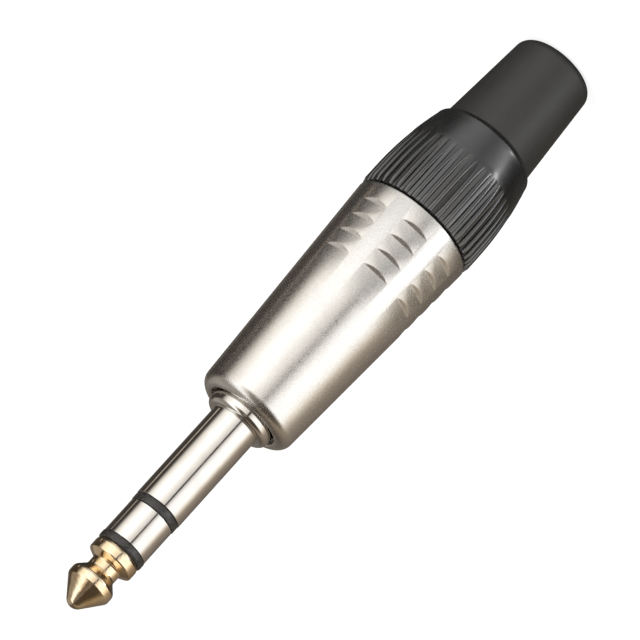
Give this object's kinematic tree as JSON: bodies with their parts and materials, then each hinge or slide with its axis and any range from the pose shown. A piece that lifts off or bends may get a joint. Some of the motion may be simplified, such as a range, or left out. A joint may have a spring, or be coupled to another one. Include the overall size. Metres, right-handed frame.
{
  "type": "stereo_jack_plug",
  "caption": "6.35 mm stereo jack plug with gold tip, nickel ring and sleeve, tapered satin-nickel shell with grip recesses, ribbed black gland nut and rubber boot",
  "frame": {"origin": "centre of the boot's end, on the plug's axis", "axes": "+Z along the plug's axis towards the tip, -Y is a side with a column of grip recesses, +X follows right-handed"},
  "size_m": [0.0166, 0.0166, 0.0912],
  "materials": {
    "gold_plate": "polished gold plating",
    "polished_nickel": "polished nickel plating",
    "satin_nickel": "fine satin nickel plating on zinc",
    "insulator_plastic": "turned dark plastic",
    "nut_plastic": "moulded black, semi-gloss",
    "boot_rubber": "matte black rubber",
    "chuck_plastic": "natural moulded acetal",
    "liner_plastic": "translucent tube",
    "tinned_brass": "tinned stamping"
  },
  "bodies": {
    "housing": {"shell": "satin_nickel", "liner": "liner_plastic", "sleeve_barrel": "polished_nickel", "ring_insulator": "insulator_plastic", "ring_contact": "polished_nickel", "tip_insulator": "insulator_plastic", "tip_contact": "gold_plate", "ground_lug": "tinned_brass", "sleeve_washer": "insulator_plastic", "ring_lug": "tinned_brass", "ring_washer": "insulator_plastic", "tip_lug": "tinned_brass"},
    "clamp": {"chuck": "chuck_plastic"},
    "nut": {"gland_nut": "nut_plastic", "boot": "boot_rubber"}
  },
  "joints": [
    {"name": "nut_travel", "type": "slide", "parent": "housing", "child": "clamp", "axis": [0, 0, -1], "range_m": [0, 0.005]},
    {"name": "nut_turn", "type": "hinge", "parent": "clamp", "child": "nut", "pos_m": [0, 0, 0.02], "axis": [0, 0, -1], "range_deg": [0, 1800]}
  ],
  "couplings": [
    {"joint": "nut_travel", "follows": "nut_turn", "m_per_rad": 0.00015915}
  ]
}
